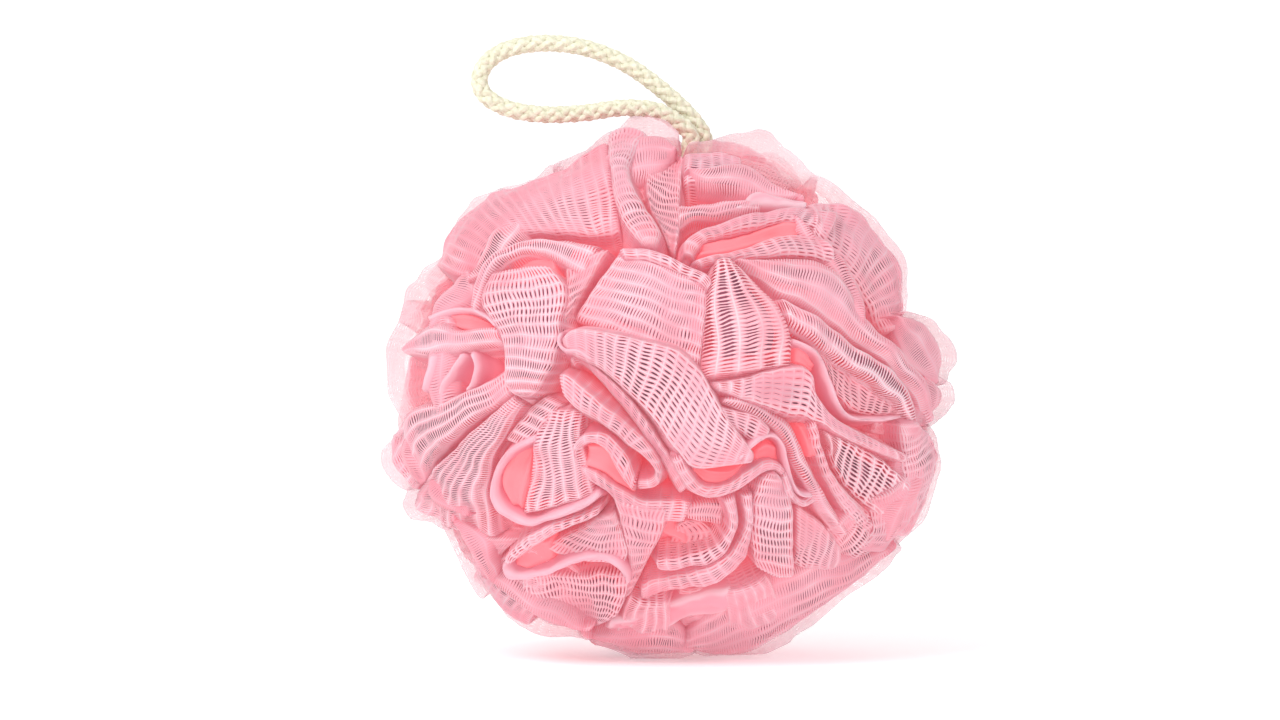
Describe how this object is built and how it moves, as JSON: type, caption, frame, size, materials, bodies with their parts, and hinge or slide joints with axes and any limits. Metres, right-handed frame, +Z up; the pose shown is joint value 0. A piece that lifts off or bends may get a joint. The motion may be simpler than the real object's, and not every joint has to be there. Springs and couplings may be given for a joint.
{
  "type": "mesh bath pouf",
  "caption": "Round bath pouf of gathered pink netting ruffles tied round a knotted cotton cord that leaves the top as a hanging loop.",
  "frame": {"origin": "on the floor under the centre of the netting ball; the ball's centre, where the netting is tied round the cord, is 69 mm above it", "axes": "+Z up through the top of the ball, -Y towards the viewer (the front), +X to the viewer's right"},
  "size_m": [0.1496, 0.1356, 0.1628],
  "materials": {
    "pink_netting": "knitted polyethylene netting, soft sheen",
    "gathered_netting": "netting pulled tight into a waist",
    "white_twine": "waxed polyester twine",
    "cotton_cord": "braided cotton, matt"
  },
  "bodies": {
    "core": {"netting_waist": "gathered_netting", "binding_twine": "white_twine", "twine_knot": "white_twine", "rope_knot": "cotton_cord", "rope_tail_front": "cotton_cord", "rope_tail_rear": "cotton_cord", "rope_leg_front": "cotton_cord", "rope_leg_rear": "cotton_cord"},
    "front_ruffle_centre": {"front_ruffle_centre": "pink_netting"},
    "front_ruffle_1": {"front_ruffle_1": "pink_netting"},
    "front_ruffle_2": {"front_ruffle_2": "pink_netting"},
    "front_ruffle_3": {"front_ruffle_3": "pink_netting"},
    "front_ruffle_4": {"front_ruffle_4": "pink_netting"},
    "front_ruffle_5": {"front_ruffle_5": "pink_netting"},
    "front_ruffle_6": {"front_ruffle_6": "pink_netting"},
    "front_ruffle_7": {"front_ruffle_7": "pink_netting"},
    "side_ruffle_1": {"side_ruffle_1": "pink_netting"},
    "side_ruffle_2": {"side_ruffle_2": "pink_netting"},
    "side_ruffle_3": {"side_ruffle_3": "pink_netting"},
    "side_ruffle_4": {"side_ruffle_4": "pink_netting"},
    "side_ruffle_5": {"side_ruffle_5": "pink_netting"},
    "side_ruffle_6": {"side_ruffle_6": "pink_netting"},
    "side_ruffle_7": {"side_ruffle_7": "pink_netting"},
    "side_ruffle_8": {"side_ruffle_8": "pink_netting"},
    "side_ruffle_9": {"side_ruffle_9": "pink_netting"},
    "side_ruffle_10": {"side_ruffle_10": "pink_netting"},
    "side_ruffle_11": {"side_ruffle_11": "pink_netting"},
    "side_ruffle_12": {"side_ruffle_12": "pink_netting"},
    "rear_ruffle_1": {"rear_ruffle_1": "pink_netting"},
    "rear_ruffle_2": {"rear_ruffle_2": "pink_netting"},
    "rear_ruffle_3": {"rear_ruffle_3": "pink_netting"},
    "rear_ruffle_4": {"rear_ruffle_4": "pink_netting"},
    "rear_ruffle_5": {"rear_ruffle_5": "pink_netting"},
    "rear_ruffle_6": {"rear_ruffle_6": "pink_netting"},
    "rear_ruffle_7": {"rear_ruffle_7": "pink_netting"},
    "rear_ruffle_centre": {"rear_ruffle_centre": "pink_netting"},
    "rope_throat": {"rope_throat_front": "cotton_cord", "rope_throat_rear": "cotton_cord"},
    "rope_neck": {"rope_neck_front": "cotton_cord", "rope_neck_rear": "cotton_cord"},
    "rope_loop": {"rope_loop_front": "cotton_cord", "rope_loop_rear": "cotton_cord"},
    "rope_far_end": {"rope_loop_end": "cotton_cord"}
  },
  "joints": [
    {"name": "squeeze_front_ruffle_centre", "type": "slide", "parent": "core", "child": "front_ruffle_centre", "axis": [0, 1, 0], "range_m": [0, 0.01], "stiffness_N_per_m": 600},
    {"name": "squeeze_front_ruffle_1", "type": "slide", "parent": "core", "child": "front_ruffle_1", "axis": [0, 0.7071, -0.7071], "range_m": [0, 0.01]},
    {"name": "squeeze_front_ruffle_2", "type": "slide", "parent": "core", "child": "front_ruffle_2", "axis": [0.5528, 0.7071, -0.4409], "range_m": [0, 0.01]},
    {"name": "squeeze_front_ruffle_3", "type": "slide", "parent": "core", "child": "front_ruffle_3", "axis": [0.6894, 0.7071, 0.1573], "range_m": [0, 0.01]},
    {"name": "squeeze_front_ruffle_4", "type": "slide", "parent": "core", "child": "front_ruffle_4", "axis": [0.3068, 0.7071, 0.6371], "range_m": [0, 0.01]},
    {"name": "squeeze_front_ruffle_5", "type": "slide", "parent": "core", "child": "front_ruffle_5", "axis": [-0.3068, 0.7071, 0.6371], "range_m": [0, 0.01]},
    {"name": "squeeze_front_ruffle_6", "type": "slide", "parent": "core", "child": "front_ruffle_6", "axis": [-0.6894, 0.7071, 0.1573], "range_m": [0, 0.01]},
    {"name": "squeeze_front_ruffle_7", "type": "slide", "parent": "core", "child": "front_ruffle_7", "axis": [-0.5528, 0.7071, -0.4409], "range_m": [0, 0.01]},
    {"name": "squeeze_side_ruffle_1", "type": "slide", "parent": "core", "child": "side_ruffle_1", "axis": [-0.1132, 0, -0.9936], "range_m": [0, 0.01]},
    {"name": "squeeze_side_ruffle_2", "type": "slide", "parent": "core", "child": "side_ruffle_2", "axis": [0.3987, 0, -0.9171], "range_m": [0, 0.01]},
    {"name": "squeeze_side_ruffle_3", "type": "slide", "parent": "core", "child": "side_ruffle_3", "axis": [0.8039, 0, -0.5948], "range_m": [0, 0.01]},
    {"name": "squeeze_side_ruffle_4", "type": "slide", "parent": "core", "child": "side_ruffle_4", "axis": [0.9936, 0, -0.1132], "range_m": [0, 0.01]},
    {"name": "squeeze_side_ruffle_5", "type": "slide", "parent": "core", "child": "side_ruffle_5", "axis": [0.9171, 0, 0.3987], "range_m": [0, 0.01]},
    {"name": "squeeze_side_ruffle_6", "type": "slide", "parent": "core", "child": "side_ruffle_6", "axis": [0.5948, 0, 0.8039], "range_m": [0, 0.01]},
    {"name": "squeeze_side_ruffle_7", "type": "slide", "parent": "core", "child": "side_ruffle_7", "axis": [0.1132, 0, 0.9936], "range_m": [0, 0.01]},
    {"name": "squeeze_side_ruffle_8", "type": "slide", "parent": "core", "child": "side_ruffle_8", "axis": [-0.3987, 0, 0.9171], "range_m": [0, 0.01]},
    {"name": "squeeze_side_ruffle_9", "type": "slide", "parent": "core", "child": "side_ruffle_9", "axis": [-0.8039, 0, 0.5948], "range_m": [0, 0.01]},
    {"name": "squeeze_side_ruffle_10", "type": "slide", "parent": "core", "child": "side_ruffle_10", "axis": [-0.9936, 0, 0.1132], "range_m": [0, 0.01]},
    {"name": "squeeze_side_ruffle_11", "type": "slide", "parent": "core", "child": "side_ruffle_11", "axis": [-0.9171, 0, -0.3987], "range_m": [0, 0.01]},
    {"name": "squeeze_side_ruffle_12", "type": "slide", "parent": "core", "child": "side_ruffle_12", "axis": [-0.5948, 0, -0.8039], "range_m": [0, 0.01]},
    {"name": "squeeze_rear_ruffle_1", "type": "slide", "parent": "core", "child": "rear_ruffle_1", "axis": [0, -0.7071, 0.7071], "range_m": [0, 0.01]},
    {"name": "squeeze_rear_ruffle_2", "type": "slide", "parent": "core", "child": "rear_ruffle_2", "axis": [-0.5528, -0.7071, 0.4409], "range_m": [0, 0.01]},
    {"name": "squeeze_rear_ruffle_3", "type": "slide", "parent": "core", "child": "rear_ruffle_3", "axis": [-0.6894, -0.7071, -0.1573], "range_m": [0, 0.01]},
    {"name": "squeeze_rear_ruffle_4", "type": "slide", "parent": "core", "child": "rear_ruffle_4", "axis": [-0.3068, -0.7071, -0.6371], "range_m": [0, 0.01]},
    {"name": "squeeze_rear_ruffle_5", "type": "slide", "parent": "core", "child": "rear_ruffle_5", "axis": [0.3068, -0.7071, -0.6371], "range_m": [0, 0.01]},
    {"name": "squeeze_rear_ruffle_6", "type": "slide", "parent": "core", "child": "rear_ruffle_6", "axis": [0.6894, -0.7071, -0.1573], "range_m": [0, 0.01]},
    {"name": "squeeze_rear_ruffle_7", "type": "slide", "parent": "core", "child": "rear_ruffle_7", "axis": [0.5528, -0.7071, 0.4409], "range_m": [0, 0.01]},
    {"name": "squeeze_rear_ruffle_centre", "type": "slide", "parent": "core", "child": "rear_ruffle_centre", "axis": [0, -1, 0], "range_m": [0, 0.01]},
    {"name": "throat_swing", "type": "hinge", "parent": "core", "child": "rope_throat", "pos_m": [0.0069, 0, 0.12961], "axis": [0, 1, 0], "range_deg": [0, 45], "stiffness_Nm_per_rad": 0.05},
    {"name": "neck_swing", "type": "hinge", "parent": "rope_throat", "child": "rope_neck", "pos_m": [0.00764, 0, 0.13607], "axis": [0, 1, 0], "range_deg": [0, 45]},
    {"name": "loop_nod", "type": "hinge", "parent": "rope_neck", "child": "rope_loop", "pos_m": [-0.0075, 0, 0.148], "axis": [0.1382, 0, 0.9904], "range_deg": [-40, 40], "stiffness_Nm_per_rad": 0.02},
    {"name": "loop_end_fold", "type": "hinge", "parent": "rope_loop", "child": "rope_far_end", "pos_m": [-0.029, 0, 0.151], "axis": [0.1382, 0, 0.9904], "range_deg": [-55, 55], "stiffness_Nm_per_rad": 0.01}
  ],
  "couplings": [
    {"joint": "squeeze_front_ruffle_1", "follows": "squeeze_front_ruffle_centre", "ratio": 1},
    {"joint": "squeeze_front_ruffle_2", "follows": "squeeze_front_ruffle_centre", "ratio": 1},
    {"joint": "squeeze_front_ruffle_3", "follows": "squeeze_front_ruffle_centre", "ratio": 1},
    {"joint": "squeeze_front_ruffle_4", "follows": "squeeze_front_ruffle_centre", "ratio": 1},
    {"joint": "squeeze_front_ruffle_5", "follows": "squeeze_front_ruffle_centre", "ratio": 1},
    {"joint": "squeeze_front_ruffle_6", "follows": "squeeze_front_ruffle_centre", "ratio": 1},
    {"joint": "squeeze_front_ruffle_7", "follows": "squeeze_front_ruffle_centre", "ratio": 1},
    {"joint": "squeeze_side_ruffle_1", "follows": "squeeze_front_ruffle_centre", "ratio": 1},
    {"joint": "squeeze_side_ruffle_2", "follows": "squeeze_front_ruffle_centre", "ratio": 1},
    {"joint": "squeeze_side_ruffle_3", "follows": "squeeze_front_ruffle_centre", "ratio": 1},
    {"joint": "squeeze_side_ruffle_4", "follows": "squeeze_front_ruffle_centre", "ratio": 1},
    {"joint": "squeeze_side_ruffle_5", "follows": "squeeze_front_ruffle_centre", "ratio": 1},
    {"joint": "squeeze_side_ruffle_6", "follows": "squeeze_front_ruffle_centre", "ratio": 1},
    {"joint": "squeeze_side_ruffle_7", "follows": "squeeze_front_ruffle_centre", "ratio": 1},
    {"joint": "squeeze_side_ruffle_8", "follows": "squeeze_front_ruffle_centre", "ratio": 1},
    {"joint": "squeeze_side_ruffle_9", "follows": "squeeze_front_ruffle_centre", "ratio": 1},
    {"joint": "squeeze_side_ruffle_10", "follows": "squeeze_front_ruffle_centre", "ratio": 1},
    {"joint": "squeeze_side_ruffle_11", "follows": "squeeze_front_ruffle_centre", "ratio": 1},
    {"joint": "squeeze_side_ruffle_12", "follows": "squeeze_front_ruffle_centre", "ratio": 1},
    {"joint": "squeeze_rear_ruffle_1", "follows": "squeeze_front_ruffle_centre", "ratio": 1},
    {"joint": "squeeze_rear_ruffle_2", "follows": "squeeze_front_ruffle_centre", "ratio": 1},
    {"joint": "squeeze_rear_ruffle_3", "follows": "squeeze_front_ruffle_centre", "ratio": 1},
    {"joint": "squeeze_rear_ruffle_4", "follows": "squeeze_front_ruffle_centre", "ratio": 1},
    {"joint": "squeeze_rear_ruffle_5", "follows": "squeeze_front_ruffle_centre", "ratio": 1},
    {"joint": "squeeze_rear_ruffle_6", "follows": "squeeze_front_ruffle_centre", "ratio": 1},
    {"joint": "squeeze_rear_ruffle_7", "follows": "squeeze_front_ruffle_centre", "ratio": 1},
    {"joint": "squeeze_rear_ruffle_centre", "follows": "squeeze_front_ruffle_centre", "ratio": 1},
    {"joint": "neck_swing", "follows": "throat_swing", "ratio": 1}
  ]
}
